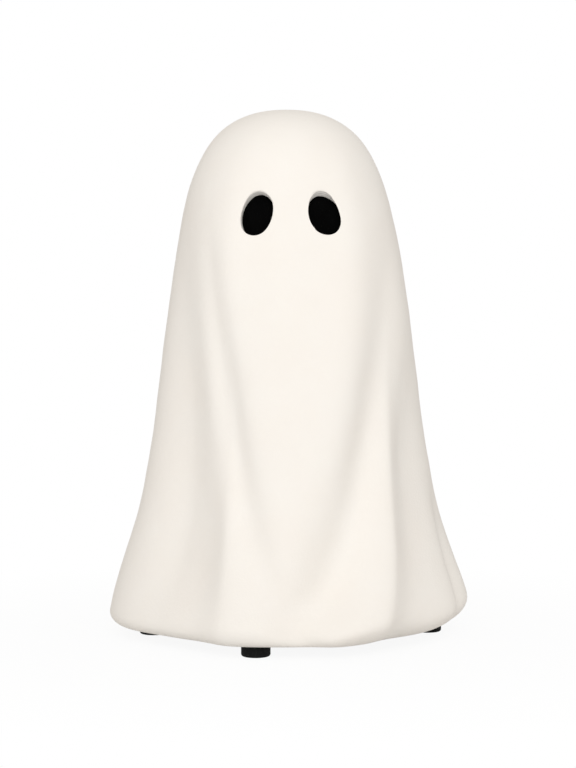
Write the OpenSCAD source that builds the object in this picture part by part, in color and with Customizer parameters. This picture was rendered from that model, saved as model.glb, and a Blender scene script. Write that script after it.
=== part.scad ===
// Paper mache ghost: a hollow draped figure, moulded in two halves,
// closed by a board in its hem and standing on four rubber feet.
// Frame: +Z up, the face looks along -Y, origin on the table under the middle of the figure.
// Angles run round the axis from the front, positive towards +X.

/* [Drape] */
// Height of the figure from the table to the crown
figure_h = 355; // [300:1:420]
// Radius that the straight sides lean in to at the crown
crown_r = 64.5; // [56:0.5:76]
// Radius of the straight sides at the level of the rim
skirt_r = 108.5; // [96:0.5:116]
// How far the crown stands to the left of the middle of the hem
lean = 3; // [0:0.5:5]
// How far the skirt flares past the straight sides at the hem
flare = 14.5; // [10:0.5:26]
// Height over which the flare fades out, like the side of a bell
flare_fade_h = 66; // [30:1:80]
// Height over which the crown rounds off
crown_fade_h = 29; // [20:1:40]
// Thickness of the paper wall
wall = 6.5; // [4:0.5:8]
// Depth of a full fold
fold_depth = 22; // [6:1:24]
// How far the front is flattened
front_flat = 7; // [0:0.5:9]
// How far the back is flattened
back_flat = 7; // [0:0.5:9]

/* [Rim] */
// Height of the rim's widest line above the hem, at the front
rim_h = 16; // [12:1:20]
// How far the rim turns in below its widest line
rim_in = 12; // [8:0.5:15]
// Share by which the rim is taller on the right and lower on the left
rim_uneven = 0.4; // [0:0.05:0.5]
// How much further the rim is tucked in under the right of the front
rim_tuck = 15; // [0:0.5:18]
// Thickness of the lip round the base panel
lip = 4; // [3:0.5:6]

/* [Eyes] */
// Width of an eye hole
eye_w = 20.5; // [14:0.5:26]
// Height of an eye hole
eye_h = 27.5; // [20:0.5:36]
// Lean of the eye holes, tops towards each other
eye_tilt = 15; // [0:1:25]
// Distance of the eye centres below the crown
eye_drop = 72; // [60:0.5:90]
// Angle of the middle of the face
face_at = 2.5; // [-10:0.5:10]
// Angle from the middle of the face to each eye
eye_spread = 20; // [17:0.5:26]
// Upward lean of the cut through the wall
eye_cut_lean = 28; // [0:1:30]
// Sideways turn of the cut for the left eye
left_cut_turn = -10; // [-25:1:10]
// Sideways turn of the cut for the right eye
right_cut_turn = -5; // [-10:1:25]
// Thickness of the black card glued behind an eye
card_t = 1.2; // [0.5:0.1:2]
// How far the card reaches past the hole all round
card_margin = 6; // [5:0.5:7]

/* [Seam] */
// Width of the paper strips inside the joint of the two halves
strip_w = 26; // [14:1:40]
// Thickness of the strips
strip_t = 1; // [0.5:0.1:2]
// Radius of the paper patch inside the crown
crown_patch_r = 34; // [26:1:40]
// Glue line behind everything that is glued in
glue_gap = 0.3; // [0.2:0.05:0.5]

/* [Base] */
// Thickness of the base panel
panel_t = 5; // [3:0.5:8]

/* [Feet] */
// Diameter of a rubber foot
foot_d = 19; // [14:0.5:24]
// Height of a rubber foot
foot_h = 7.5; // [7:0.5:14]
// Radius round the lower edge of a foot
foot_round = 1.5; // [0.5:0.1:2.5]
// Distance of a foot's centre inside the plain hem line
foot_inset = 19.5; // [17:0.5:26]
// Angle of the front foot
front_foot_at = -14; // [-20:1:20]
// Angle of the left foot
left_foot_at = -86; // [-110:1:-70]
// Angle of the right foot
right_foot_at = 92; // [86:1:110]
// Angle of the rear foot
rear_foot_at = 180; // [160:1:200]

/* [Foot screws] */
// Diameter of the screw's shank
screw_d = 3; // [2.5:0.1:3.5]
// Length of the screw under its head
screw_len = 8.5; // [8:0.5:9.5]
// Diameter of the screw's pan head
head_d = 6; // [5:0.1:6.5]
// Height of the screw's pan head
head_h = 1.8; // [1.2:0.1:2.2]
// Width of the cross slots in the head
slot_w = 0.8; // [0.5:0.1:1]
// Depth of the cross slots in the head
slot_deep = 0.9; // [0.5:0.1:1]
// Diameter of the washer
washer_d = 8; // [7.5:0.1:9]
// Thickness of the washer
washer_t = 0.8; // [0.5:0.1:1.2]
// Thickness of rubber that the screw clamps
foot_web = 3.5; // [2.5:0.1:4]
// Clearance round the screw and the washer
screw_play = 0.2; // [0.1:0.05:0.4]

/* [Hidden] */
$fn = 64;

paint_white = [0.97, 0.95, 0.91];
paper_grey = [0.72, 0.69, 0.63];
card_black = [0.05, 0.05, 0.05];
board_brown = [0.55, 0.45, 0.34];
rubber_black = [0.09, 0.09, 0.09];
zinc = [0.72, 0.72, 0.70];

// Steps round each half of the figure, up its side, round its rim and round an eye
front_steps = 72;
rear_steps = 48;
side_steps = 26;
rim_steps = 4;
eye_steps = 40;
// Steps across a strip, and across and up a card
strip_across = 6;
card_steps = 8;
crown_steps = 12;
// Rows up the side crowd towards the crown by this power
row_crowding = 1.7;
// Roundness of the crown: 1 is a cone, smaller is fuller
crown_fullness = 1 / 2.3;
// The hem's middle stands this far to the right of the origin, as the rim reaches further on the left
hem_x = 2;
// The flattened front slants from one angle at the hem to another at the crown, the back runs upright.
// Each spans an angle on both sides of its middle and fades out over a height below the crown.
front_flat_hem_at = -14;
front_flat_top_at = 6;
front_flat_half = 28;
back_flat_at = 182;
back_flat_half = 38;
flat_fade_h = 90;
// The tucked part of the rim spans an angle on both sides of its middle, and a power shapes its slope
tuck_at = 56;
tuck_half = 40;
tuck_power = 2;
// How far a crest is rounded, as a share of its fold
crest_round = 0.18;
// Slack that lets a cut pass clean through a wall
through = 1;

hem_z = foot_h;
rim_z = hem_z + rim_h;
panel_top_z = hem_z + panel_t;
hem_r = plain_r(hem_z, 0) - rim_in;
foot_ring_r = hem_r - foot_inset;
foot_angles = [front_foot_at, left_foot_at, right_foot_at, rear_foot_at];
front_angles = spaced(-90, 90, front_steps);
rear_angles = spaced(90, 270, rear_steps);
eye_z = figure_h - eye_drop;
card_d = wall + glue_gap;
washer_top_z = foot_h - foot_web;
head_top_z = washer_top_z - washer_t;

// One fold of the drape. Angles in degrees, heights as shares of the drape's height,
// depths as shares of a full fold.
function fold(hem_at, top_at, bend, top, full, at_hem, deep, wall_w, soft_w, wall_side, crest) =
    [hem_at, top_at, bend, top, full, at_hem, deep, wall_w, soft_w, wall_side, crest];

// bend shapes the valley's path, full is where it reaches its depth and at_hem is the part of
// the depth left at the hem. The valley's wall is on its wall_side (1 right, -1 left) and
// either bends over a crest or fades out like the soft side.
folds = [
    // Front, from left to right
    fold(-49, -75, 2.1, 0.91, 0.14, 0.60, 1.00, 25, 19, 1, true),
    fold(10, -46, 0.55, 0.85, 0.45, 0.55, 0.36, 7.5, 7.5, 1, false),
    fold(-3, 62, 0.6, 0.83, 0.10, 0.22, 0.90, 14, 12, -1, false),
    fold(40, 72, 0.6, 0.63, 0.30, 0.95, 0.56, 15, 20, -1, true),
    fold(77, 87, 1.0, 0.32, 0.05, 0.50, 0.42, 6, 6, -1, false),
    fold(92, 92, 1.0, 0.48, 0.20, 0.00, 0.07, 16, 16, 1, false),
    // Rear, from right to left
    fold(138, 120, 1.1, 0.72, 0.40, 0.60, 0.45, 16, 15, -1, true),
    fold(166, 154, 1.0, 0.66, 0.42, 0.45, 0.25, 8, 12, 1, false),
    fold(206, 220, 1.2, 0.76, 0.45, 0.65, 0.50, 18, 15, 1, true),
    fold(246, 256, 1.0, 0.52, 0.25, 0.80, 0.22, 9, 14, -1, false)
];

function smooth(t) = let (c = min(max(t, 0), 1)) c * c * (3 - 2 * c);
function wrapped(a) = a - 360 * round(a / 360);
function total(list, i = 0) = i < len(list) ? list[i] + total(list, i + 1) : 0;

// Share of the drape's height that a point stands at
function up_share(z) = (z - hem_z) / (figure_h - hem_z);

// Profile of a wall that bends over a crest at u = 1, and of one that fades out
function crested(u) =
    let (q = 1 - u * u, soft = crest_round * crest_round)
    (q + sqrt(q * q + soft)) / (1 + sqrt(1 + soft));
function faded(u) = exp(-u * u);

// Depth of one fold at an angle and height
function fold_pull(f, phi, z) =
    let (
        up = up_share(z),
        path = f[0] + (f[1] - f[0]) * pow(max(up, 0) / f[3], f[2]),
        off = wrapped(phi - path),
        on_wall = off * f[9] > 0,
        u = off / (on_wall ? f[7] : f[8]),
        fade_up = smooth((f[3] - up) / (f[3] - f[4])),
        fade_down = f[5] + (1 - f[5]) * smooth(up / f[4])
    )
    fold_depth * f[6] * fade_up * fade_down * (on_wall && f[10] ? crested(u) : faded(u));

// Depth of the flattened front and back
function flat_share(off, half) = exp(-pow(wrapped(off) / half, 4));
function flat_pull(phi, z) =
    let (front_at = front_flat_hem_at + (front_flat_top_at - front_flat_hem_at) * up_share(z))
    smooth((figure_h - z) / flat_fade_h)
    * (front_flat * flat_share(phi - front_at, front_flat_half)
        + back_flat * flat_share(phi - back_flat_at, back_flat_half));

// Radius of the plain drape, set in by d from the outside
function plain_r(z, d) =
    (crown_r - d + (skirt_r - crown_r) * (figure_h - z) / (figure_h - rim_z)
        + flare * exp(-pow((z - hem_z) / flare_fade_h, 2)))
    * pow(1 - exp(-(figure_h - d - z) / crown_fade_h), crown_fullness);

// Height of the rim's widest line at an angle, and the share of the way below it down to the hem
function rim_top_z(phi) = hem_z + rim_h * (1 + rim_uneven * sin(phi));
function rim_low(phi, z) = min(max((rim_top_z(phi) - z) / (rim_top_z(phi) - hem_z), 0), 1);

// How far the rim has turned in all round, and how far it is tucked in further
function rim_turn(low) = rim_in * (1 - sqrt(1 - low * low));
function tuck_pull(phi, low) = rim_tuck * flat_share(phi - tuck_at, tuck_half) * pow(low, tuck_power);

// Where the tuck meets the folds, they flow into each other
function drape_r(phi, z, d) =
    let (low = rim_low(phi, z))
    plain_r(z, d) - rim_turn(low) - flat_pull(phi, z)
    - norm([total([for (f = folds) fold_pull(f, phi, z)]), tuck_pull(phi, low)]);

// Inside of the lip, and the inside of the wall above it
function lip_r(phi) = drape_r(phi, hem_z, 0) - lip;
function inside_r(phi, z) =
    z <= panel_top_z ? lip_r(phi)
    : min(drape_r(phi, z, wall), lip_r(phi) + z - panel_top_z);

// A point at an angle, radius and height from the leaning axis
function axis_x(z) = hem_x - lean * max(up_share(z), 0);
function at(phi, r, z) = [axis_x(z) + r * sin(phi), -r * cos(phi), z];
function spaced(from, to, steps) = [for (i = [0:steps]) from + (to - from) * i / steps];

// Heights of the rows up a side that runs from low_z to a crown at top_z
function side_rows(low_z, top_z) = [
    for (i = [1:side_steps - 1])
        low_z + (top_z - low_z) * (1 - pow(1 - i / side_steps, row_crowding))
];
function outer_rows(phi) = concat(
    [for (i = [rim_steps:-1:0]) rim_top_z(phi) - (rim_top_z(phi) - hem_z) * sin(90 * i / rim_steps)],
    side_rows(rim_top_z(phi), figure_h)
);
function inner_rows(phi) =
    let (low_z = max(rim_z, rim_top_z(phi)))
    concat([hem_z], spaced(panel_top_z, low_z, rim_steps - 1), side_rows(low_z, figure_h - wall));

// A closed skin between two grids of points with the same rows and columns.
// With tips, both grids close to a point at the top, otherwise the top edge is flat.
module skin(outer, inner, tips = []) {
    rows = len(outer);
    cols = len(outer[0]);
    grid = rows * cols;
    last = cols - 1;
    top = rows - 1;
    function o(i, j) = i * cols + j;
    function n(i, j) = grid + i * cols + j;
    function quad(a, b, c, d) = [[a, b, c], [a, c, d]];
    walls = [
        for (i = [0:top - 1], j = [0:last - 1]) each concat(
            quad(o(i, j), o(i + 1, j), o(i + 1, j + 1), o(i, j + 1)),
            quad(n(i, j), n(i, j + 1), n(i + 1, j + 1), n(i + 1, j))
        )
    ];
    bottom = [for (j = [0:last - 1]) each quad(o(0, j), o(0, j + 1), n(0, j + 1), n(0, j))];
    ends = [
        for (i = [0:top - 1]) each concat(
            quad(o(i + 1, 0), o(i, 0), n(i, 0), n(i + 1, 0)),
            quad(o(i, last), o(i + 1, last), n(i + 1, last), n(i, last))
        )
    ];
    flat_top = [
        for (j = [0:last - 1]) each quad(o(top, j), n(top, j), n(top, j + 1), o(top, j + 1))
    ];
    outer_tip = 2 * grid;
    inner_tip = outer_tip + 1;
    crown = concat(
        [for (j = [0:last - 1]) [o(top, j), outer_tip, o(top, j + 1)]],
        [for (j = [0:last - 1]) [n(top, j), n(top, j + 1), inner_tip]],
        quad(outer_tip, o(top, 0), n(top, 0), inner_tip),
        quad(o(top, last), outer_tip, inner_tip, n(top, last))
    );
    polyhedron(
        points = concat([for (row = outer) each row], [for (row = inner) each row], tips),
        faces = concat(walls, bottom, ends, len(tips) > 0 ? crown : flat_top)
    );
}

// Half of the moulded shell, over a run of angles
module half_shell(angles) {
    outer = [for (a = angles) [for (z = outer_rows(a)) at(a, drape_r(a, z, 0), z)]];
    inner = [for (a = angles) [for (z = inner_rows(a)) at(a, inside_r(a, z), z)]];
    last = len(outer[0]) - 1;
    skin(
        [for (i = [0:last]) [for (column = outer) column[i]]],
        [for (i = [0:last]) [for (column = inner) column[i]]],
        [at(0, 0, figure_h), at(0, 0, figure_h - wall)]
    );
}

// Straight cut through the wall for an eye at an angle. The side is -1 left, 1 right.
module eye_cut(side, turn) {
    angle = face_at + side * eye_spread;
    reach = 2 * wall + through;
    translate(at(angle, drape_r(angle, eye_z, wall / 2), eye_z))
        rotate([90 - eye_cut_lean, 0, turn])
            rotate(side * eye_tilt)
                translate([0, 0, -reach])
                    linear_extrude(2 * reach)
                        polygon([
                            for (i = [0:eye_steps - 1]) let (a = 360 * i / eye_steps)
                                [eye_w / 2 * cos(a), eye_h / 2 * sin(a)]
                        ]);
}

module front_shell() {
    color(paint_white)
        difference() {
            half_shell(front_angles);
            eye_cut(-1, left_cut_turn);
            eye_cut(1, right_cut_turn);
        }
}

module rear_shell() {
    color(paint_white) half_shell(rear_angles);
}

// A sheet of thickness t glued inside the wall. Each row is a height and two end angles.
module lining(rows, across, t) {
    function line(row, d) = [
        for (a = spaced(row[1], row[2], across)) at(a, drape_r(a, row[0], d), row[0])
    ];
    skin(
        [for (row = rows) line(row, card_d)],
        [for (row = rows) line(row, card_d + t)]
    );
}

// Half the angle that a width spans on the inside of the wall
function half_span(phi, z, w) = asin(w / 2 / drape_r(phi, z, card_d));

// Height at which the inside of the crown has a radius, found by halving the range
function crown_z_at(r, low, high, turns = 20) =
    let (mid = (low + high) / 2)
    turns == 0 ? mid
    : plain_r(mid, card_d) > r ? crown_z_at(r, mid, high, turns - 1)
    : crown_z_at(r, low, mid, turns - 1);
crown_patch_z = crown_z_at(crown_patch_r, rim_z, figure_h - card_d);

// The strips share the rows of the wall. They start a row above the rim, clear of the slope
// over the base panel, and end at the crown patch.
module seam_strip(side) {
    low_z = max(rim_z, rim_top_z(side * 90));
    high_z = crown_patch_z - glue_gap;
    rows = [for (z = inner_rows(side * 90)) if (z > low_z + glue_gap && z < high_z) z];
    color(paper_grey)
        lining(
            [
                for (z = concat(rows, high_z))
                    let (half = half_span(side * 90, z, strip_w))
                    [z, side * 90 - half, side * 90 + half]
            ],
            strip_across, strip_t
        );
}

module seam_strip_left() {
    seam_strip(-1);
}

module seam_strip_right() {
    seam_strip(1);
}

module crown_patch() {
    top_z = figure_h - card_d;
    drops = [for (i = [0:crown_steps]) (top_z - crown_patch_z) * pow(i / crown_steps, 2)];
    color(paper_grey)
        translate([axis_x(crown_patch_z), 0, 0])
            rotate_extrude()
                polygon(concat(
                    [for (d = drops) [plain_r(top_z - d, card_d), top_z - d]],
                    [
                        for (i = [crown_steps:-1:0])
                            [max(0, plain_r(top_z - drops[i], card_d) - (i > 0 ? strip_t : 0)),
                                top_z - drops[i] - strip_t]
                    ]
                ));
}

module eye_backing(side) {
    angle = face_at + side * eye_spread;
    half_h = eye_h / 2 + card_margin;
    mid_z = eye_z - wall / 2 * tan(eye_cut_lean);
    color(card_black)
        lining(
            [
                for (z = spaced(mid_z - half_h, mid_z + half_h, card_steps))
                    let (half = half_span(angle, z, eye_w + 2 * card_margin))
                    [z, angle - half, angle + half]
            ],
            card_steps, card_t
        );
}

module eye_backing_left() {
    eye_backing(-1);
}

module eye_backing_right() {
    eye_backing(1);
}

module base_panel() {
    function edge(a) = let (p = at(a, lip_r(a) - glue_gap, 0)) [p[0], p[1]];
    outline = concat(
        [for (i = [0:front_steps - 1]) edge(front_angles[i])],
        [for (i = [0:rear_steps - 1]) edge(rear_angles[i])]
    );
    color(board_brown)
        difference() {
            translate([0, 0, hem_z]) linear_extrude(panel_t) polygon(outline);
            at_each_foot()
                translate([0, 0, hem_z - through])
                    cylinder(d = screw_d + screw_play, h = panel_t + 2 * through);
        }
}

module at_foot(angle) {
    translate(at(angle, foot_ring_r, 0)) children();
}

module at_each_foot() {
    for (angle = foot_angles) at_foot(angle) children();
}

module foot(angle) {
    color(rubber_black)
        at_foot(angle)
            difference() {
                rotate_extrude() {
                    square([foot_d / 2 - foot_round, foot_h]);
                    translate([0, foot_round]) square([foot_d / 2, foot_h - foot_round]);
                    translate([foot_d / 2 - foot_round, foot_round]) circle(foot_round);
                }
                translate([0, 0, -through])
                    cylinder(d = washer_d + 2 * screw_play, h = washer_top_z + through);
                translate([0, 0, -through])
                    cylinder(d = screw_d + screw_play, h = foot_h + 2 * through);
            }
}

module foot_front() {
    foot(front_foot_at);
}

module foot_left() {
    foot(left_foot_at);
}

module foot_right() {
    foot(right_foot_at);
}

module foot_rear() {
    foot(rear_foot_at);
}

module foot_washers() {
    color(zinc)
        at_each_foot()
            translate([0, 0, head_top_z])
                difference() {
                    cylinder(d = washer_d, h = washer_t);
                    translate([0, 0, -through])
                        cylinder(d = screw_d + screw_play, h = washer_t + 2 * through);
                }
}

module foot_screws() {
    color(zinc)
        at_each_foot()
            translate([0, 0, head_top_z]) {
                difference() {
                    translate([0, 0, -head_h]) cylinder(d1 = head_d - head_h / 2, d2 = head_d, h = head_h);
                    for (turn = [0, 90])
                        rotate(turn)
                            translate([-head_d / 3, -slot_w / 2, -head_h - through])
                                cube([head_d * 2 / 3, slot_w, slot_deep + through]);
                }
                cylinder(d = screw_d, h = screw_len - screw_d / 2);
                translate([0, 0, screw_len - screw_d / 2])
                    cylinder(d1 = screw_d, d2 = screw_d / 4, h = screw_d / 2);
            }
}

front_shell();
rear_shell();
seam_strip_left();
seam_strip_right();
crown_patch();
eye_backing_left();
eye_backing_right();
base_panel();
foot_front();
foot_left();
foot_right();
foot_rear();
foot_washers();
foot_screws();
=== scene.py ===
"""Paper mache ghost, dressed: painted paper shell, cut eye holes, board base and rubber feet."""

import logging
import math
from dataclasses import dataclass, field
from enum import Enum

import bmesh
import bpy
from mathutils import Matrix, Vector, noise


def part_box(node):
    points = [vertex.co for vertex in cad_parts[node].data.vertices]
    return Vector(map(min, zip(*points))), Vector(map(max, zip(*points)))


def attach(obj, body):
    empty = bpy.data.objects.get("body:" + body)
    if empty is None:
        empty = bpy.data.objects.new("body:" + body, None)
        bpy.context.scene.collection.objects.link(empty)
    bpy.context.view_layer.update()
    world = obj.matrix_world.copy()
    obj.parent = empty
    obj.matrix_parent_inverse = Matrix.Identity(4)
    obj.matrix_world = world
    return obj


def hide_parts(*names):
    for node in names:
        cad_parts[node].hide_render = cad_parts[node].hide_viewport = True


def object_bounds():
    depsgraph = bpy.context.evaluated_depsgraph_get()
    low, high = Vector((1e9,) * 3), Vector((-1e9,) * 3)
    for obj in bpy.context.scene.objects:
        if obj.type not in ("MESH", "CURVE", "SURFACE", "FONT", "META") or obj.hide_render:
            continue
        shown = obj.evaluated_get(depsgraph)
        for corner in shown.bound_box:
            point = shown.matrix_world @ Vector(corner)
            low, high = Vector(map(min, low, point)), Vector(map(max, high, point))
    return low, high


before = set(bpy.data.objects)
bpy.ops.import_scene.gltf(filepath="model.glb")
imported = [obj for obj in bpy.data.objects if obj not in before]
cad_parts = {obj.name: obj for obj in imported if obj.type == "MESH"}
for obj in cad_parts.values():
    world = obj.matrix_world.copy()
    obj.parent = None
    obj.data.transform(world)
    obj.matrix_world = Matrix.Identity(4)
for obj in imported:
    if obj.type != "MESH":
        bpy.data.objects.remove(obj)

CAD_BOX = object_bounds()
LOG = logging.getLogger("ghost")
# Attributes that keep each point's angle and height while a sheet is shaped
ANGLE = "angle"
HEIGHT = "height"
# The attribute that runs from 0 outside the paper wall to 1 inside it
CUT_DEPTH = "cut_depth"

Colour = tuple[float, float, float, float]
# Turns round an eye, size as a share of its radius, and start in radians
Wave = tuple[tuple[int, float, float], ...]

WHITE: Colour = (1.0, 1.0, 1.0, 1.0)


class Side(Enum):
    """The viewer's left or right of the face."""

    LEFT = -1
    RIGHT = 1


class Half(Enum):
    """The two moulded halves, by the CAD node that each stands for."""

    FRONT = "front_shell"
    REAR = "rear_shell"


class Wall(Enum):
    """How the steeper side of a fold meets the drape: over a crest, or fading out."""

    CRESTED = "crested"
    FADED = "faded"


def smooth(share: float) -> float:
    """Eases a share from 0 to 1, flat at both ends.

    Args:
        share: the share, held between 0 and 1.

    Returns:
        The eased share.
    """
    held = min(max(share, 0.0), 1.0)
    return held * held * (3.0 - 2.0 * held)


def wrapped(angle: float) -> float:
    """Brings an angle in degrees to between -180 and 180."""
    return angle - 360.0 * round(angle / 360.0)


def outward(angle: float) -> Vector:
    """Level direction away from the axis at an angle in degrees, 0 at the front."""
    turn = math.radians(angle)
    return Vector((math.sin(turn), -math.cos(turn), 0.0))


@dataclass(frozen=True)
class Fold:
    """One valley of the drape.

    Angles are in degrees round the axis from the front, positive to the viewer's right. Heights are
    shares of the drape's height, and deep is a share of a full fold. The bend shapes the valley's path,
    full is where it reaches its depth, and at_hem is the part of the depth left at the hem. The wall is
    the steeper side, on the wall_side (1 right, -1 left), and soft_w is the width of the other side.
    """

    hem_at: float
    top_at: float
    bend: float
    top: float
    full: float
    at_hem: float
    deep: float
    wall_w: float
    soft_w: float
    wall_side: int
    wall: Wall
    crest_round: float = 0.18

    def profile(self, off: float) -> float:
        """Gives the share of the valley's depth at an angle away from its floor.

        Args:
            off: the angle from the valley's floor, in degrees.

        Returns:
            The share, 1 on the floor.
        """
        on_wall = off * self.wall_side > 0
        u = off / (self.wall_w if on_wall else self.soft_w)
        if not on_wall or self.wall is Wall.FADED:
            return math.exp(-u * u)
        q = 1.0 - u * u
        return (q + math.hypot(q, self.crest_round)) / (1.0 + math.hypot(1.0, self.crest_round))

    def pull(self, angle: float, up: float) -> float:
        """Gives the valley's depth at a place on the drape.

        Args:
            angle: the angle round the axis, in degrees.
            up: the height above the hem, as a share of the drape's height.

        Returns:
            The depth, as a share of a full fold.
        """
        path = self.hem_at + (self.top_at - self.hem_at) * (max(up, 0.0) / self.top) ** self.bend
        fade_up = smooth((self.top - up) / (self.top - self.full))
        fade_down = self.at_hem + (1.0 - self.at_hem) * smooth(up / self.full)
        return self.deep * fade_up * fade_down * self.profile(wrapped(angle - path))


# In order: hem_at, top_at, bend, top, full, at_hem, deep, wall_w, soft_w, wall_side, wall
FOLDS: tuple[Fold, ...] = (
    # Front, from left to right
    Fold(-49, -75, 2.1, 0.91, 0.14, 0.60, 1.00, 25, 19, 1, Wall.CRESTED),
    Fold(10, -46, 0.55, 0.85, 0.45, 0.55, 0.36, 7.5, 7.5, 1, Wall.FADED),
    Fold(-3, 62, 0.6, 0.83, 0.10, 0.22, 0.90, 14, 12, -1, Wall.FADED),
    Fold(40, 72, 0.6, 0.63, 0.30, 0.95, 0.56, 15, 20, -1, Wall.CRESTED),
    Fold(77, 87, 1.0, 0.32, 0.05, 0.50, 0.42, 6, 6, -1, Wall.FADED),
    Fold(92, 92, 1.0, 0.48, 0.20, 0.00, 0.07, 16, 16, 1, Wall.FADED),
    # Rear, from right to left
    Fold(138, 120, 1.1, 0.72, 0.40, 0.60, 0.45, 16, 15, -1, Wall.CRESTED),
    Fold(166, 154, 1.0, 0.66, 0.42, 0.45, 0.25, 8, 12, 1, Wall.FADED),
    Fold(206, 220, 1.2, 0.76, 0.45, 0.65, 0.50, 18, 15, 1, Wall.CRESTED),
    Fold(246, 256, 1.0, 0.52, 0.25, 0.80, 0.22, 9, 14, -1, Wall.FADED),
)


@dataclass(frozen=True)
class Lump:
    """Hand-made unevenness of one size: how deep it goes and how far apart its swells lie."""

    depth: float
    size: float


@dataclass(frozen=True)
class Flat:
    """A flattened side of the drape.

    Its middle runs from one angle at the hem to another at the crown, and it spans half an angle on
    each side. Angles are in degrees, and the depth is in metres.
    """

    hem_at: float
    top_at: float
    half: float
    depth: float

    def pull(self, angle: float, up: float) -> float:
        """Depth of the flattening at an angle and a share of the drape's height."""
        middle = self.hem_at + (self.top_at - self.hem_at) * up
        return self.depth * math.exp(-((wrapped(angle - middle) / self.half) ** 4))


@dataclass
class Drape:
    """The outside of the figure, as a radius round its leaning axis. Sizes are in metres."""

    figure_h: float
    hem_z: float
    crown_r: float = 0.0645
    skirt_r: float = 0.1085
    lean: float = 0.003
    hem_x: float = 0.002
    flare: float = 0.0145
    flare_fade_h: float = 0.066
    crown_fade_h: float = 0.029
    crown_fullness: float = 1.0 / 2.3
    fold_depth: float = 0.022
    flats: tuple[Flat, ...] = (Flat(-14.0, 6.0, 28.0, 0.007), Flat(182.0, 182.0, 38.0, 0.007))
    flat_fade_h: float = 0.09
    rim_h: float = 0.016
    rim_in: float = 0.012
    rim_uneven: float = 0.4
    rim_tuck: float = 0.015
    tuck_at: float = 56.0
    tuck_half: float = 40.0
    tuck_power: float = 2.0
    folds: tuple[Fold, ...] = FOLDS
    lumps: tuple[Lump, ...] = (Lump(0.00045, 0.034), Lump(0.00014, 0.011))
    crown_calm_h: float = 0.012

    @property
    def rim_z(self) -> float:
        """Height of the rim's widest line at the front."""
        return self.hem_z + self.rim_h

    def up_share(self, z: float) -> float:
        """Share of the drape's height that a height stands at."""
        return (z - self.hem_z) / (self.figure_h - self.hem_z)

    def axis(self, z: float) -> Vector:
        """Point of the leaning axis at a height."""
        return Vector((self.hem_x - self.lean * max(self.up_share(z), 0.0), 0.0, z))

    def angle_of(self, place: Vector) -> float:
        """Angle of a place round the axis, in degrees."""
        off = place - self.axis(place.z)
        return math.degrees(math.atan2(off.x, -off.y))

    def plain_radius(self, z: float) -> float:
        """Radius without folds and rim at a height.

        Args:
            z: the height.

        Returns:
            The radius of the plain drape.
        """
        drop = max(self.figure_h - z, 0.0)
        widening = (self.skirt_r - self.crown_r) * drop / (self.figure_h - self.rim_z)
        bell = math.exp(-(((z - self.hem_z) / self.flare_fade_h) ** 2))
        side = self.crown_r + widening + self.flare * bell
        return side * (1.0 - math.exp(-drop / self.crown_fade_h)) ** self.crown_fullness

    def rim_top(self, angle: float) -> float:
        """Height of the rim's widest line at an angle, taller on the right and lower on the left."""
        return self.hem_z + self.rim_h * (1.0 + self.rim_uneven * math.sin(math.radians(angle)))

    def rim_low(self, angle: float, z: float) -> float:
        """Share of the way down from the rim's widest line to the hem, at an angle and height."""
        top = self.rim_top(angle)
        return min(max((top - z) / (top - self.hem_z), 0.0), 1.0)

    def tuck_pull(self, angle: float, low: float) -> float:
        """How much further the rim is tucked in under the right of the front."""
        near = math.exp(-((wrapped(angle - self.tuck_at) / self.tuck_half) ** 4))
        return self.rim_tuck * near * low ** self.tuck_power

    def radius(self, angle: float, z: float) -> float:
        """Radius with the folds, without the unevenness.

        Args:
            angle: the angle round the axis, in degrees.
            z: the height.

        Returns:
            The radius of the drape there.
        """
        up = self.up_share(z)
        pulled = self.fold_depth * sum(fold.pull(angle, up) for fold in self.folds)
        flat = sum(side.pull(angle, up) for side in self.flats)
        flat *= smooth((self.figure_h - z) / self.flat_fade_h)
        low = self.rim_low(angle, z)
        turned = self.rim_in * (1.0 - math.sqrt(1.0 - low * low))
        return self.plain_radius(z) - turned - flat - math.hypot(pulled, self.tuck_pull(angle, low))

    def uneven(self, place: Vector) -> float:
        """Gives the depth of the hand-made unevenness, none at the very top and bottom.

        Args:
            place: the place on the drape.

        Returns:
            The depth there.
        """
        calm = smooth((self.figure_h - place.z) / self.crown_calm_h)
        calm *= smooth((place.z - self.hem_z) / self.rim_h)
        return calm * sum(lump.depth * noise.noise(place / lump.size) for lump in self.lumps)

    def point(self, angle: float, z: float, inset: float = 0.0) -> Vector:
        """A point on the drape.

        Args:
            angle: the angle round the axis, in degrees.
            z: the height.
            inset: how far the point lies inside the drape.

        Returns:
            The point, with its unevenness.
        """
        way = outward(angle)
        place = self.axis(z) + way * (self.radius(angle, z) - inset)
        return place - way * self.uneven(place)

    def depth_of(self, place: Vector) -> float:
        """How far inside the drape a place lies, measured towards the axis."""
        off = place - self.axis(place.z)
        return self.radius(self.angle_of(place), min(place.z, self.figure_h)) - off.length


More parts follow.
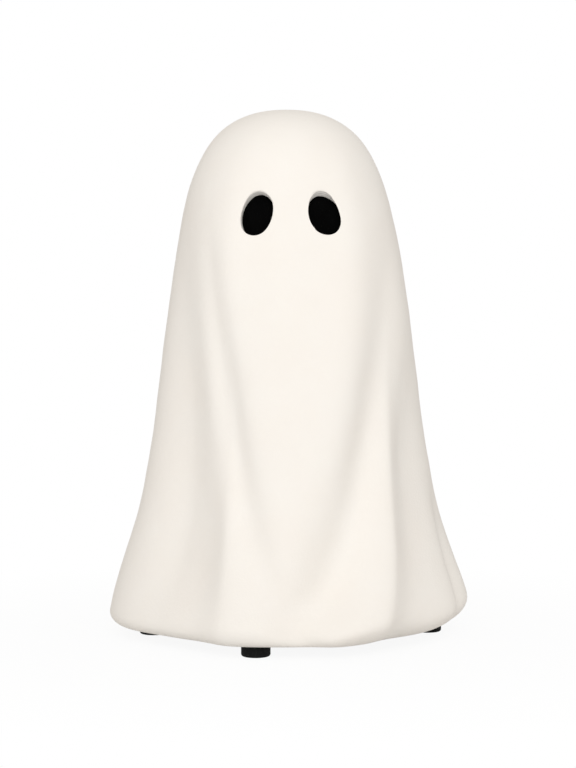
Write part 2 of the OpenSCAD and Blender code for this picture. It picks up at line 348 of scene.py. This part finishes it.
@dataclass
class EyeHole:
    """One eye hole, a straight cut through the wall with a hand-cut outline.

    Inside, the cut is a plain oval, wider by the undercut and shorter by the draft, as shares.
    """

    side: Side
    drape: Drape
    turn: float
    undercut: float
    draft: float
    wave: Wave
    width: float = 0.0205
    height: float = 0.0275
    tilt: float = 15.0
    lean: float = 28.0
    drop: float = 0.072
    face_at: float = 2.5
    spread: float = 20.0
    half_wall: float = 0.00325
    reach: float = 0.02
    search_steps: int = 40

    def __post_init__(self) -> None:
        """Works out the cut's middle and its three directions."""
        self.angle: float = self.face_at + self.side.value * self.spread
        self.z: float = self.drape.figure_h - self.drop
        r = self.drape.radius(self.angle, self.z) - self.half_wall
        self.centre = self.drape.axis(self.z) + outward(self.angle) * r
        yaw, lean = math.radians(self.turn), math.radians(self.lean)
        self.out = Vector((math.sin(yaw) * math.cos(lean), -math.cos(yaw) * math.cos(lean), math.sin(lean)))
        level = Vector((math.cos(yaw), math.sin(yaw), 0.0))
        upright = self.out.cross(level)
        slant = math.radians(self.side.value * self.tilt)
        self.across = level * math.cos(slant) + upright * math.sin(slant)
        self.along = upright * math.cos(slant) - level * math.sin(slant)

    def bearing(self, place: Vector) -> tuple[float, float]:
        """Finds where a place lies round the cut.

        Args:
            place: the place.

        Returns:
            The angle round the cut in radians, and the distance from its middle, where 1 is the outline.
        """
        off = place - self.centre
        a = off.dot(self.across) / (self.width / 2.0)
        b = off.dot(self.along) / (self.height / 2.0)
        theta = math.atan2(b, a)
        return theta, math.hypot(a, b) / self.waver(theta)

    def waver(self, theta: float) -> float:
        """How the hand-cut outline leaves the plain oval at an angle round it."""
        return 1.0 + sum(size * math.sin(turns * theta + start) for turns, size, start in self.wave)

    def to_plain(self, place: Vector) -> Vector:
        """Gives the move that takes a place on the hand-cut outline to the plain oval.

        Args:
            place: the place.

        Returns:
            The move, across the cut.
        """
        off = place - self.centre
        level = self.across * off.dot(self.across) + self.along * off.dot(self.along)
        return level * (1.0 / self.waver(self.bearing(place)[0]) - 1.0)

    def on_drape(self, theta: float) -> tuple[float, float]:
        """Finds where the outline meets the outside of the drape.

        Args:
            theta: the angle round the cut, in radians.

        Returns:
            The angle round the axis in degrees, and the height.
        """
        a = self.width / 2.0 * self.waver(theta) * math.cos(theta)
        b = self.height / 2.0 * self.waver(theta) * math.sin(theta)
        start = self.centre + self.across * a + self.along * b
        near, far = -self.reach, self.reach
        for _ in range(self.search_steps):
            middle = (near + far) / 2.0
            if self.drape.depth_of(start + self.out * middle) > 0.0:
                near = middle
            else:
                far = middle
        place = start + self.out * near
        return self.drape.angle_of(place), place.z


# How the hand that cut the eyes left the plain oval
LEFT_WAVE: Wave = ((1, 0.04, -1.9), (2, 0.03, -1.0), (3, 0.015, 1.6), (4, 0.018, -1.6))
RIGHT_WAVE: Wave = ((1, 0.03, -1.6), (2, 0.016, -2.4), (3, 0.04, -2.5))


def select_only(obj: bpy.types.Object) -> None:
    """Makes an object the only one selected, and the active one.

    Args:
        obj: the object.
    """
    bpy.ops.object.select_all(action="DESELECT")
    obj.select_set(True)
    bpy.context.view_layer.objects.active = obj


def apply_modifier(obj: bpy.types.Object, kind: str, **settings: object) -> None:
    """Adds a modifier to an object, sets it and applies it.

    Args:
        obj: the object.
        kind: Blender's name for the kind of modifier.
        **settings: the modifier's settings.
    """
    select_only(obj)
    modifier = obj.modifiers.new(kind.title(), kind)
    for name, value in settings.items():
        setattr(modifier, name, value)
    bpy.ops.object.modifier_apply(modifier=modifier.name)


@dataclass
class PaperShell:
    """The moulded paper shell: two halves that meet at the sides, the front one with the eye holes."""

    drape: Drape
    eyes: list[EyeHole]
    wall: float = 0.0065
    lip: float = 0.004
    columns: int = 160
    lip_rows: int = 2
    rim_rows: int = 12
    side_rows: int = 132
    row_crowding: float = 1.7
    block_angle: float = 14.5
    block_share: float = 0.066
    block_slack: float = 1.2
    rings: int = 9
    ring_crowding: float = 1.25
    edge_round: float = 0.0007
    edge_steps: int = 3
    edge_beside: float = 1.06
    cut_facing: float = 0.7
    cut_falloff: float = 1.7
    slope_rise: float = 0.002
    inside_top_z: float = 0.325
    inside_blend_h: float = 0.012
    smooth_angle: float = 40.0
    merge_gap: float = 1e-6

    def rows(self, angle: float) -> list[tuple[float, float]]:
        """Lists the points of one column from the lip's inner edge up to the crown.

        Args:
            angle: the column's angle round the axis, in degrees.

        Returns:
            The height and the inset of each point.
        """
        drape = self.drape
        top = drape.rim_top(angle)
        lip = [(drape.hem_z, self.lip * (1.0 - i / self.lip_rows)) for i in range(self.lip_rows)]
        quarter = math.pi / 2.0
        rim = [
            (top - (top - drape.hem_z) * math.sin(quarter * (1.0 - i / self.rim_rows)), 0.0)
            for i in range(self.rim_rows)
        ]
        tall = drape.figure_h - top
        side = [
            (top + tall * (1.0 - (1.0 - i / self.side_rows) ** self.row_crowding), 0.0)
            for i in range(self.side_rows + 1)
        ]
        return lip + rim + side

    def row_share(self, angle: float, z: float) -> float:
        """Share of the way from the rim's widest line to the crown, the same all along a row."""
        top = self.drape.rim_top(angle)
        return (z - top) / (self.drape.figure_h - top)

    def lay_grid(self, half: Half) -> bpy.types.Object:
        """Lays a grid over one half of the drape, half a column past the seam on each side.

        Args:
            half: which half.

        Returns:
            The sheet, closed at the crown, with each point's angle and height kept on it.
        """
        step = 180.0 / (self.columns - 1)
        start = (-90.0 if half is Half.FRONT else 90.0) - step / 2.0
        angles = [start + step * i for i in range(self.columns + 1)]
        columns = [self.rows(angle) for angle in angles]
        last = len(columns[0]) - 1
        bpy.ops.object.select_all(action="DESELECT")
        bpy.ops.mesh.primitive_grid_add(x_subdivisions=self.columns, y_subdivisions=last, size=1.0)
        sheet = bpy.context.active_object
        sheet.name = half.value + "_painted"
        sheet.data.name = sheet.name
        angle_kept = sheet.data.attributes.new(ANGLE, "FLOAT", "POINT")
        height_kept = sheet.data.attributes.new(HEIGHT, "FLOAT", "POINT")
        for i, vertex in enumerate(sheet.data.vertices):
            column = round((vertex.co.x + 0.5) * self.columns)
            row = round((vertex.co.y + 0.5) * last)
            z, inset = columns[column][row]
            angle = angles[column]
            angle_kept.data[i].value = angle
            height_kept.data[i].value = z
            vertex.co = self.drape.point(angle, z, inset) if row < last else self.drape.axis(z)
        select_only(sheet)
        bpy.ops.object.mode_set(mode="EDIT")
        bpy.ops.mesh.select_all(action="SELECT")
        bpy.ops.mesh.remove_doubles(threshold=self.merge_gap)
        bpy.ops.object.mode_set(mode="OBJECT")
        return sheet

    @staticmethod
    def kept(mesh: bmesh.types.BMesh) -> tuple[bmesh.types.BMLayerItem, bmesh.types.BMLayerItem]:
        """Layers of a sheet in edit mode that keep each point's angle and height."""
        return mesh.verts.layers.float[ANGLE], mesh.verts.layers.float[HEIGHT]

    def in_block(self, eye: EyeHole, angle: float, z: float, slack: float = 1.0) -> bool:
        """Tells whether a place lies in the block of the grid that an eye's rings replace.

        Args:
            eye: the eye hole.
            angle: the place's angle round the axis, in degrees.
            z: the place's height.
            slack: how many times as large the block is taken.

        Returns:
            True inside the block.
        """
        aside = abs(angle - eye.angle)
        up = abs(self.row_share(angle, z) - self.row_share(eye.angle, eye.z))
        return aside < self.block_angle * slack and up < self.block_share * slack

    def open_eye(self, sheet: bpy.types.Object, eye: EyeHole) -> None:
        """Opens one eye in the sheet, with rings of faces that run from a block of the grid to its outline.

        Args:
            sheet: the front half's sheet.
            eye: the eye hole.
        """
        select_only(sheet)
        bpy.ops.object.mode_set(mode="EDIT")
        bpy.ops.mesh.select_mode(type="FACE")
        bpy.ops.mesh.select_all(action="DESELECT")
        mesh = bmesh.from_edit_mesh(sheet.data)
        angle_kept, height_kept = self.kept(mesh)
        for face in mesh.faces:
            count = len(face.verts)
            angle = sum(v[angle_kept] for v in face.verts) / count
            z = sum(v[height_kept] for v in face.verts) / count
            face.select_set(self.in_block(eye, angle, z))
        bmesh.update_edit_mesh(sheet.data)
        bpy.ops.mesh.delete(type="FACE")
        bpy.ops.mesh.select_mode(type="EDGE")
        mesh = bmesh.from_edit_mesh(sheet.data)
        angle_kept, height_kept = self.kept(mesh)
        for edge in mesh.edges:
            near = all(
                self.in_block(eye, v[angle_kept], v[height_kept], self.block_slack) for v in edge.verts
            )
            edge.select_set(edge.is_boundary and near)
        bmesh.update_edit_mesh(sheet.data)
        for ring in range(1, self.rings + 1):
            bpy.ops.mesh.extrude_edges_indiv()
            share = 1.0 - (1.0 - ring / self.rings) ** self.ring_crowding
            mesh = bmesh.from_edit_mesh(sheet.data)
            angle_kept, height_kept = self.kept(mesh)
            for vertex in (v for v in mesh.verts if v.select):
                angle, z = vertex[angle_kept], vertex[height_kept]
                theta, _ = eye.bearing(self.drape.point(angle, z))
                eye_angle, eye_z = eye.on_drape(theta)
                vertex.co = self.drape.point(
                    angle + (eye_angle - angle) * share, z + (eye_z - z) * share
                )
            bmesh.update_edit_mesh(sheet.data)
        bpy.ops.object.mode_set(mode="OBJECT")

    def thicken(self, sheet: bpy.types.Object) -> None:
        """Gives the sheet its wall, which lies straight towards the axis between the rim and the crown.

        Args:
            sheet: one half's sheet.
        """
        count = len(sheet.data.vertices)
        apply_modifier(sheet, "SOLIDIFY", thickness=self.wall, offset=-1.0, use_quality_normals=True)
        vertices = sheet.data.vertices
        depth_kept = sheet.data.attributes.new(CUT_DEPTH, "FLOAT", "POINT")
        for i in range(count):
            depth_kept.data[i + count].value = 1.0
            outer = vertices[i].co
            inner = vertices[i + count]
            angle = self.drape.angle_of(outer)
            share = smooth((outer.z - self.drape.rim_top(angle)) / self.inside_blend_h)
            share *= smooth((self.inside_top_z - outer.z) / self.inside_blend_h)
            inner.co = inner.co.lerp(outer - outward(angle) * self.wall, share)

    def slant_cut(self, shell: bpy.types.Object, eye: EyeHole) -> None:
        """Shifts the inside of the wall round an eye, so that the hole runs along its own slant.

        Args:
            shell: the front half, with its thickness.
            eye: the eye hole.
        """
        level = outward(eye.angle)
        rise = self.slope_rise
        back = self.drape.radius(eye.angle, eye.z - rise) - self.drape.radius(eye.angle, eye.z + rise)
        normal = (level + Vector((0.0, 0.0, back / (2.0 * rise)))).normalized()
        shift = (level - eye.out * (level.dot(normal) / eye.out.dot(normal))) * self.wall
        for vertex in shell.data.vertices:
            if (vertex.co - eye.centre).length > eye.height * self.cut_falloff:
                continue
            if self.drape.depth_of(vertex.co) < self.wall / 2.0:
                continue
            _, far = eye.bearing(vertex.co)
            off = vertex.co - eye.centre
            grown = eye.across * off.dot(eye.across) * eye.undercut
            grown -= eye.along * off.dot(eye.along) * eye.draft
            grown += eye.to_plain(vertex.co + shift)
            vertex.co += (shift + grown) * (1.0 - smooth((far - 1.0) / (self.cut_falloff - 1.0)))

    def round_eye_edge(self, shell: bpy.types.Object, eye: EyeHole) -> None:
        """Rounds the outer edge of an eye hole and gives its cut wall the second material.

        Args:
            shell: the front half, with its thickness.
            eye: the eye hole.
        """
        select_only(shell)
        bpy.ops.object.mode_set(mode="EDIT")
        bpy.ops.mesh.select_mode(type="EDGE")
        bpy.ops.mesh.select_all(action="DESELECT")
        mesh = bmesh.from_edit_mesh(shell.data)
        for face in mesh.faces:
            middle = face.calc_center_median()
            if (middle - eye.centre).length > eye.height:
                continue
            _, far = eye.bearing(middle)
            if far < self.edge_beside and abs(face.normal.dot(eye.out)) < self.cut_facing:
                face.material_index = 1
        for edge in mesh.edges:
            if len(edge.link_faces) != 2:
                continue
            kinds = {face.material_index for face in edge.link_faces}
            middle = (edge.verts[0].co + edge.verts[1].co) / 2.0
            close = (middle - eye.centre).length < eye.height
            outer = self.drape.depth_of(middle) < self.wall / 2.0
            edge.select_set(close and outer and kinds == {0, 1})
        bmesh.update_edit_mesh(shell.data)
        bpy.ops.mesh.bevel(offset=self.edge_round, segments=self.edge_steps, affect="EDGES", material=0)
        bpy.ops.object.mode_set(mode="OBJECT")

    def trim_at_seam(self, shell: bpy.types.Object, half: Half) -> None:
        """Cuts a half off square at the seam and closes the cut.

        Args:
            shell: the half, with its thickness.
            half: which half it is.
        """
        select_only(shell)
        bpy.ops.object.mode_set(mode="EDIT")
        bpy.ops.mesh.select_all(action="SELECT")
        bpy.ops.mesh.bisect(
            plane_co=(0.0, 0.0, 0.0),
            plane_no=(0.0, 1.0, 0.0),
            use_fill=True,
            clear_outer=half is Half.FRONT,
            clear_inner=half is Half.REAR,
            threshold=self.merge_gap,
        )
        bpy.ops.object.mode_set(mode="OBJECT")

    def build(self, half: Half, paint: bpy.types.Material, cut: bpy.types.Material) -> bpy.types.Object:
        """Models one half of the shell and puts it in place of its CAD node.

        Args:
            half: which half.
            paint: the painted paper.
            cut: the bare paper where the eyes are cut.

        Returns:
            The finished half.
        """
        shell = self.lay_grid(half)
        if half is Half.FRONT:
            for eye in self.eyes:
                self.open_eye(shell, eye)
        self.thicken(shell)
        shell.data.materials.clear()
        shell.data.materials.append(paint)
        if half is Half.FRONT:
            shell.data.materials.append(cut)
            for eye in self.eyes:
                self.slant_cut(shell, eye)
                self.round_eye_edge(shell, eye)
        self.trim_at_seam(shell, half)
        select_only(shell)
        bpy.ops.object.shade_smooth_by_angle(angle=math.radians(self.smooth_angle))
        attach(shell, "root")
        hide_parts(half.value)
        return shell


class Tree:
    """A node tree with short calls for adding and joining its nodes."""

    # Space between nodes in the editor
    SPACING: float = 220.0
    # Numbers of a Mix node's colour sockets, whose names repeat for each type of data
    MIX_FIRST: int = 6
    MIX_SECOND: int = 7
    MIX_RESULT: int = 2

    def __init__(self, tree: bpy.types.NodeTree) -> None:
        """Takes a tree and empties it.

        Args:
            tree: the tree.
        """
        self.tree = tree
        self.tree.nodes.clear()
        self.count = 0

    def add(self, kind: str, **settings: object) -> bpy.types.Node:
        """Adds a node.

        Args:
            kind: Blender's name for the node.
            **settings: the node's own settings.

        Returns:
            The node.
        """
        made = self.tree.nodes.new(kind)
        made.location = (self.SPACING * self.count, 0.0)
        self.count += 1
        for name, value in settings.items():
            setattr(made, name, value)
        return made

    def put(self, socket: bpy.types.NodeSocket, value: object) -> None:
        """Sets or links one input.

        Args:
            socket: the input.
            value: an output socket or a plain value.
        """
        if isinstance(value, bpy.types.NodeSocket):
            self.tree.links.new(value, socket)
        else:
            socket.default_value = value

    def feed(self, node: bpy.types.Node, **values: object) -> None:
        """Sets or links a node's inputs.

        Args:
            node: the node.
            **values: for each input, by its name with _ for a space, an output socket or a plain value.
        """
        for name, value in values.items():
            self.put(node.inputs[name.replace("_", " ")], value)

    def calculate(self, operation: str, *values: object) -> bpy.types.NodeSocket:
        """Works out a value.

        Args:
            operation: Blender's name for the operation.
            *values: the operation's values in order, each an output socket or a plain number.

        Returns:
            The result's socket.
        """
        made = self.add("ShaderNodeMath", operation=operation)
        for socket, value in zip(made.inputs, values):
            self.put(socket, value)
        return made.outputs[0]

    def blend(self, share: object, first: object, second: object) -> bpy.types.NodeSocket:
        """Mixes two colours.

        Args:
            share: how much of the second colour shows, an output socket or a plain number.
            first: the first colour, an output socket or a plain colour.
            second: the second colour, an output socket or a plain colour.

        Returns:
            The mixed colour's socket.
        """
        mix = self.add("ShaderNodeMix", data_type="RGBA")
        self.feed(mix, Factor=share)
        self.put(mix.inputs[self.MIX_FIRST], first)
        self.put(mix.inputs[self.MIX_SECOND], second)
        return mix.outputs[self.MIX_RESULT]

    def ramp(
        self, value: bpy.types.NodeSocket, low: float, high: float, dark: float, light: float
    ) -> bpy.types.NodeSocket:
        """Spreads a value over a new range.

        Args:
            value: the value.
            low: what becomes dark.
            high: what becomes light.
            dark: the low end of the new range.
            light: the high end of the new range.

        Returns:
            The new value's socket.
        """
        spread = self.add("ShaderNodeMapRange", clamp=True)
        self.feed(spread, Value=value, From_Min=low, From_Max=high, To_Min=dark, To_Max=light)
        return spread.outputs["Result"]


class Effects:
    """Shader effects that several finishes share, each made once as a node group."""

    # Band of the noise over which one tone drifts into the other
    DRIFT_BAND: tuple[float, float] = (0.3, 0.7)
    # How many times as dense as the grain the pits lie, and the band of distances over which they fade
    PIT_DENSITY: float = 0.22
    PIT_BAND: tuple[float, float] = (0.02, 0.16)
    # Scale of the noise by which the lines between layers wander
    WANDER_SCALE: float = 160.0
    # Half a layer, which gives one line to each, and the share of a layer over which a line fades
    HALF_LAYER: float = 0.5
    LINE_BAND: tuple[float, float] = (0.03, 0.16)

    def __init__(self) -> None:
        """Makes the groups."""
        self.mottle = self.make_mottle()
        self.tooth = self.make_tooth()
        self.layers = self.make_layers()

    @staticmethod
    def new_group(name: str, inputs: dict[str, tuple[str, object]], outputs: dict[str, str]) -> Tree:
        """Makes an empty node group with its sockets.

        Args:
            name: the group's name.
            inputs: each input's socket type and starting value.
            outputs: each output's socket type.

        Returns:
            The group's tree.
        """
        group = bpy.data.node_groups.new(name, "ShaderNodeTree")
        for socket, (kind, value) in inputs.items():
            made = group.interface.new_socket(name=socket, in_out="INPUT", socket_type=kind)
            made.default_value = value
        for socket, kind in outputs.items():
            group.interface.new_socket(name=socket, in_out="OUTPUT", socket_type=kind)
        return Tree(group)

    def make_mottle(self) -> bpy.types.NodeTree:
        """Makes the slow drift between two tones that hand-mixed paint and pulp have.

        Returns:
            The group, which puts out a colour and the mask that it was mixed by.
        """
        tree = self.new_group(
            "mottle",
            {
                "Tone": ("NodeSocketColor", (0.8, 0.8, 0.8, 1.0)),
                "Other Tone": ("NodeSocketColor", (0.7, 0.7, 0.7, 1.0)),
                "Size": ("NodeSocketFloat", 0.03),
            },
            {"Color": "NodeSocketColor", "Mask": "NodeSocketFloat"},
        )
        given = tree.add("NodeGroupInput")
        place = tree.add("ShaderNodeTexCoord")
        scale = tree.calculate("DIVIDE", 1.0, given.outputs["Size"])
        drift = tree.add("ShaderNodeTexNoise")
        tree.feed(drift, Vector=place.outputs["Object"], Scale=scale, Detail=4.0, Roughness=0.6)
        mask = tree.ramp(drift.outputs["Fac"], *self.DRIFT_BAND, 0.0, 1.0)
        colour = tree.blend(mask, given.outputs["Tone"], given.outputs["Other Tone"])
        tree.feed(tree.add("NodeGroupOutput"), Color=colour, Mask=mask)
        return tree.tree

    def make_tooth(self) -> bpy.types.NodeTree:
        """Makes the fine tooth of a surface: a soft grain with sparse pits in it.

        Returns:
            The group, which puts out a height.
        """
        tree = self.new_group(
            "tooth",
            {"Size": ("NodeSocketFloat", 0.002), "Pits": ("NodeSocketFloat", 0.3)},
            {"Height": "NodeSocketFloat"},
        )
        given = tree.add("NodeGroupInput")
        place = tree.add("ShaderNodeTexCoord")
        scale = tree.calculate("DIVIDE", 1.0, given.outputs["Size"])
        grain = tree.add("ShaderNodeTexNoise")
        tree.feed(grain, Vector=place.outputs["Object"], Scale=scale, Detail=5.0, Roughness=0.55)
        cells = tree.add("ShaderNodeTexVoronoi")
        sparse = tree.calculate("MULTIPLY", scale, self.PIT_DENSITY)
        tree.feed(cells, Vector=place.outputs["Object"], Scale=sparse)
        pits = tree.ramp(cells.outputs["Distance"], *self.PIT_BAND, 1.0, 0.0)
        deep = tree.calculate("MULTIPLY", pits, given.outputs["Pits"])
        height = tree.calculate("SUBTRACT", grain.outputs["Fac"], deep)
        tree.feed(tree.add("NodeGroupOutput"), Height=height)
        return tree.tree

    def make_layers(self) -> bpy.types.NodeTree:
        """Makes the lines that glued layers of paper leave on a cut through the wall.

        Returns:
            The group, which puts out the mask of the lines.
        """
        tree = self.new_group(
            "layers", {"Count": ("NodeSocketFloat", 3.0)}, {"Mask": "NodeSocketFloat"}
        )
        given = tree.add("NodeGroupInput")
        place = tree.add("ShaderNodeTexCoord")
        wander = tree.add("ShaderNodeTexNoise")
        tree.feed(wander, Vector=place.outputs["Object"], Scale=self.WANDER_SCALE, Detail=2.0)
        deep = tree.add("ShaderNodeAttribute", attribute_name=CUT_DEPTH)
        layer = tree.calculate(
            "MULTIPLY_ADD", deep.outputs["Fac"], given.outputs["Count"], wander.outputs["Fac"]
        )
        wave = tree.calculate("PINGPONG", layer, self.HALF_LAYER)
        lines = tree.ramp(wave, *self.LINE_BAND, 1.0, 0.0)
        tree.feed(tree.add("NodeGroupOutput"), Mask=lines)
        return tree.tree


@dataclass(frozen=True)
class Finish:
    """A finish: two tones that drift into each other, a roughness and a tooth. Sizes are in metres.

    Where it has layers, as many lines of the layer tone run along the cut through the paper wall.
    """

    name: str
    tone: Colour
    other_tone: Colour
    drift: float
    roughness: tuple[float, float]
    tooth: float
    pits: float
    relief: float
    metallic: float = 0.0
    gloss: float = 0.3
    layers: float = 0.0
    layer_tone: Colour = (0.5, 0.48, 0.45, 1.0)

    def build(self, effects: Effects) -> bpy.types.Material:
        """Makes the finish's material.

        Args:
            effects: the shared shader effects.

        Returns:
            The material.
        """
        material = bpy.data.materials.new(self.name)
        material.use_nodes = True
        tree = Tree(material.node_tree)
        mottle = tree.add("ShaderNodeGroup", node_tree=effects.mottle)
        tree.feed(mottle, Tone=self.tone, Other_Tone=self.other_tone, Size=self.drift)
        colour = mottle.outputs["Color"]
        if self.layers:
            lines = tree.add("ShaderNodeGroup", node_tree=effects.layers)
            tree.feed(lines, Count=self.layers)
            colour = tree.blend(lines.outputs["Mask"], colour, self.layer_tone)
        tooth = tree.add("ShaderNodeGroup", node_tree=effects.tooth)
        tree.feed(tooth, Size=self.tooth, Pits=self.pits)
        rough = tree.ramp(mottle.outputs["Mask"], 0.0, 1.0, *self.roughness)
        bump = tree.add("ShaderNodeBump")
        tree.feed(bump, Height=tooth.outputs["Height"], Strength=1.0, Distance=self.relief)
        surface = tree.add("ShaderNodeBsdfPrincipled")
        tree.feed(
            surface,
            Base_Color=colour,
            Roughness=rough,
            Normal=bump.outputs["Normal"],
            Metallic=self.metallic,
            Specular_IOR_Level=self.gloss,
        )
        out = tree.add("ShaderNodeOutputMaterial")
        tree.feed(out, Surface=surface.outputs["BSDF"])
        return material


PAINTED_PAPER = Finish(
    "painted_paper", (0.955, 0.926, 0.876, 1.0), (0.945, 0.906, 0.85, 1.0),
    drift=0.045, roughness=(0.78, 0.92), tooth=0.0016, pits=0.12, relief=0.00012, gloss=0.25,
)
CUT_PAPER = Finish(
    "cut_paper", (0.96, 0.94, 0.90, 1.0), (0.88, 0.86, 0.82, 1.0),
    drift=0.004, roughness=(0.9, 0.98), tooth=0.0012, pits=0.3, relief=0.0003, gloss=0.1, layers=3.0,
)
SEAM_PAPER = Finish(
    "seam_paper", (0.50, 0.46, 0.39, 1.0), (0.40, 0.36, 0.30, 1.0),
    drift=0.012, roughness=(0.85, 0.95), tooth=0.0010, pits=0.2, relief=0.0002, gloss=0.15,
)
BLACK_CARD = Finish(
    "black_card", (0.002, 0.002, 0.002, 1.0), (0.003, 0.003, 0.003, 1.0),
    drift=0.01, roughness=(0.95, 1.0), tooth=0.0010, pits=0.1, relief=0.0001, gloss=0.0,
)
BASE_BOARD = Finish(
    "base_board", (0.30, 0.21, 0.13, 1.0), (0.22, 0.15, 0.09, 1.0),
    drift=0.010, roughness=(0.75, 0.9), tooth=0.0014, pits=0.35, relief=0.00025, gloss=0.2,
)
FOOT_RUBBER = Finish(
    "foot_rubber", (0.004, 0.004, 0.004, 1.0), (0.006, 0.006, 0.006, 1.0),
    drift=0.004, roughness=(0.62, 0.8), tooth=0.0007, pits=0.1, relief=0.00006, gloss=0.12,
)
ZINC_PLATE = Finish(
    "zinc_plate", (0.55, 0.55, 0.53, 1.0), (0.40, 0.40, 0.39, 1.0),
    drift=0.003, roughness=(0.32, 0.5), tooth=0.0005, pits=0.1, relief=0.00003, metallic=1.0, gloss=0.5,
)


@dataclass
class Fittings:
    """The pieces that keep their CAD shape: linings, base board, feet and their screws."""

    effects: Effects
    finishes: dict[str, Finish] = field(
        default_factory=lambda: {
            "seam_strip_left": SEAM_PAPER,
            "seam_strip_right": SEAM_PAPER,
            "crown_patch": SEAM_PAPER,
            "eye_backing_left": BLACK_CARD,
            "eye_backing_right": BLACK_CARD,
            "base_panel": BASE_BOARD,
            "foot_front": FOOT_RUBBER,
            "foot_left": FOOT_RUBBER,
            "foot_right": FOOT_RUBBER,
            "foot_rear": FOOT_RUBBER,
            "foot_washers": ZINC_PLATE,
            "foot_screws": ZINC_PLATE,
        }
    )

    def dress(self) -> None:
        """Gives each piece its finish."""
        made: dict[str, bpy.types.Material] = {}
        for node, finish in self.finishes.items():
            if finish.name not in made:
                made[finish.name] = finish.build(self.effects)
            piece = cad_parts[node]
            piece.data.materials.clear()
            piece.data.materials.append(made[finish.name])
            LOG.info("dressed %s in %s", node, finish.name)


@dataclass
class Studio:
    """The camera, the light and the pale floor. Sizes are in metres, the picture's in pixels."""

    camera_far: float = 1.5
    camera_h: float = 0.26
    aim_h: float = 0.1698
    metres_per_pixel: float = 0.00068
    picture_tall: int = 768
    axis_pixel: float = 287.9
    middle_pixel: float = 288.0
    sensor: float = 36.0
    sky: Colour = (0.6, 0.58, 0.56, 1.0)
    key: float = 12.0
    key_size: float = 1.1
    key_place: tuple[float, float, float] = (-0.02, -1.6, 1.0)
    floor_size: float = 12.0
    floor_tone: Colour = (0.9, 0.9, 0.9, 1.0)
    shadow_share: float = 0.1
    shadow_reach: float = 0.35

    def place_camera(self) -> None:
        """Puts the camera at the photograph's height, distance and aim."""
        data = bpy.data.cameras.new("camera")
        camera = bpy.data.objects.new("camera", data)
        bpy.context.scene.collection.objects.link(camera)
        place = Vector((0.0, -self.camera_far, self.camera_h))
        aim_x = (self.middle_pixel - self.axis_pixel) * self.metres_per_pixel
        way = Vector((aim_x, 0.0, self.aim_h)) - place
        camera.location = place
        camera.rotation_euler = way.to_track_quat("-Z", "Y").to_euler()
        data.sensor_fit = "VERTICAL"
        data.sensor_height = self.sensor
        data.lens = self.sensor * way.length / self.metres_per_pixel / self.picture_tall
        bpy.context.scene.camera = camera

    def light(self) -> None:
        """Hangs one wide soft lamp in front, in a pale even surround."""
        data = bpy.data.lights.new("key", "AREA")
        data.shape = "DISK"
        data.size = self.key_size
        data.energy = self.key
        lamp = bpy.data.objects.new("key", data)
        bpy.context.scene.collection.objects.link(lamp)
        lamp.location = self.key_place
        way = Vector((0.0, 0.0, self.aim_h)) - Vector(self.key_place)
        lamp.rotation_euler = way.to_track_quat("-Z", "Y").to_euler()
        world = bpy.data.worlds.new("surround")
        bpy.context.scene.world = world
        world.use_nodes = True
        tree = Tree(world.node_tree)
        tint = tree.blend(self.seen_directly(tree), self.sky, WHITE)
        back = tree.add("ShaderNodeBackground")
        tree.feed(back, Color=tint, Strength=1.0)
        out = tree.add("ShaderNodeOutputWorld")
        tree.feed(out, Surface=back.outputs["Background"])

    @staticmethod
    def seen_directly(tree: Tree) -> bpy.types.NodeSocket:
        """Tells rays that show the background from those that light the object.

        Args:
            tree: the tree that asks.

        Returns:
            A socket that is 1 for camera, glossy and transmission rays.
        """
        path = tree.add("ShaderNodeLightPath")
        seen = tree.calculate("MAXIMUM", path.outputs["Is Camera Ray"], path.outputs["Is Glossy Ray"])
        return tree.calculate("MAXIMUM", seen, path.outputs["Is Transmission Ray"])

    def lay_floor(self) -> None:
        """Lays a pale floor that shows white and keeps the figure's soft shadow close by."""
        bpy.ops.object.select_all(action="DESELECT")
        bpy.ops.mesh.primitive_plane_add(size=self.floor_size)
        floor = bpy.context.active_object
        floor.name = "floor"
        material = bpy.data.materials.new("pale_floor")
        material.use_nodes = True
        tree = Tree(material.node_tree)
        place = tree.add("ShaderNodeTexCoord")
        far = tree.add("ShaderNodeVectorMath", operation="LENGTH")
        tree.put(far.inputs[0], place.outputs["Object"])
        white = tree.ramp(far.outputs["Value"], 0.0, self.shadow_reach, 1.0 - self.shadow_share, 1.0)
        shown = tree.calculate("MULTIPLY", self.seen_directly(tree), white)
        matt = tree.add("ShaderNodeBsdfDiffuse")
        tree.feed(matt, Color=self.floor_tone)
        glow = tree.add("ShaderNodeEmission")
        tree.feed(glow, Color=WHITE, Strength=1.0)
        mix = tree.add("ShaderNodeMixShader")
        for socket, value in zip(mix.inputs, (shown, matt.outputs["BSDF"], glow.outputs["Emission"])):
            tree.put(socket, value)
        out = tree.add("ShaderNodeOutputMaterial")
        tree.feed(out, Surface=mix.outputs["Shader"])
        floor.data.materials.append(material)

    def build(self) -> None:
        """Sets up the view, the light and the floor."""
        bpy.context.scene.view_settings.view_transform = "Standard"
        self.place_camera()
        self.light()
        self.lay_floor()


def main() -> None:
    """Builds the scene: the studio, the shell's two halves and the pieces under and behind it."""
    logging.basicConfig(level=logging.INFO, format="%(message)s")
    Studio().build()
    effects = Effects()
    drape = Drape(figure_h=CAD_BOX[1].z, hem_z=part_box("base_panel")[0].z)
    eyes = [
        EyeHole(Side.LEFT, drape, turn=-10.0, undercut=0.17, draft=-0.02, wave=LEFT_WAVE),
        EyeHole(Side.RIGHT, drape, turn=-1.0, undercut=0.3, draft=0.04, wave=RIGHT_WAVE),
    ]
    shell = PaperShell(drape, eyes)
    paint = PAINTED_PAPER.build(effects)
    cut = CUT_PAPER.build(effects)
    for half in Half:
        made = shell.build(half, paint, cut)
        LOG.info("built %s, %d faces", made.name, len(made.data.polygons))
    Fittings(effects).dress()


if __name__ == "__main__":
    main()
